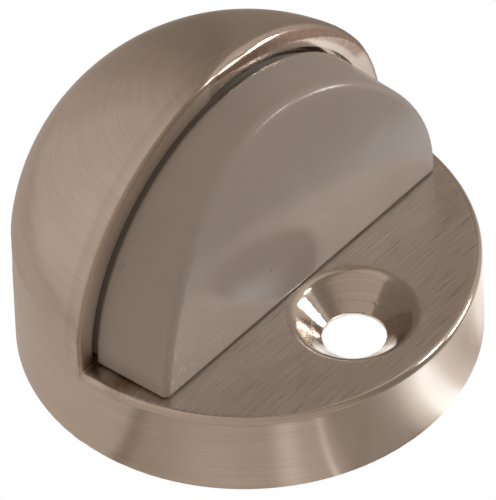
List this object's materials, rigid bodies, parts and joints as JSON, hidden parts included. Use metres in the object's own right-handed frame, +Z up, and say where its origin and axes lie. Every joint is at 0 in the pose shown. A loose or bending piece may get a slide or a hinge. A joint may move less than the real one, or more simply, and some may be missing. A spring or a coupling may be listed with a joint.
{
  "type": "floor door stop",
  "caption": "Floor-mounted dome door stop: a hollow cast half dome and ledge that holds a grey rubber bumper, fixed to the floor by a screw.",
  "frame": {"origin": "centre of the base, on the floor", "axes": "+Z up from the floor, -Y towards the door that the bumper stops"},
  "size_m": [0.0476, 0.0476, 0.0348],
  "materials": {
    "satin_nickel": "warm satin nickel plate, brushed, with polished edges",
    "grey_rubber": "smooth moulded warm grey rubber, semi-gloss",
    "insert_brass": "machined brass",
    "plated_steel": "bright zinc plate"
  },
  "bodies": {
    "base": {"body": "satin_nickel"},
    "bumper": {"bumper": "grey_rubber", "bumper_insert_left": "insert_brass", "bumper_insert_right": "insert_brass", "bumper_washer_left": "plated_steel", "bumper_washer_right": "plated_steel", "bumper_screw_left": "plated_steel", "bumper_screw_right": "plated_steel"}
  },
  "joints": [
    {"name": "bumper_press", "type": "slide", "parent": "base", "child": "bumper", "axis": [0, 1, 0], "range_m": [0, 0.0012], "stiffness_N_per_m": 150000}
  ]
}
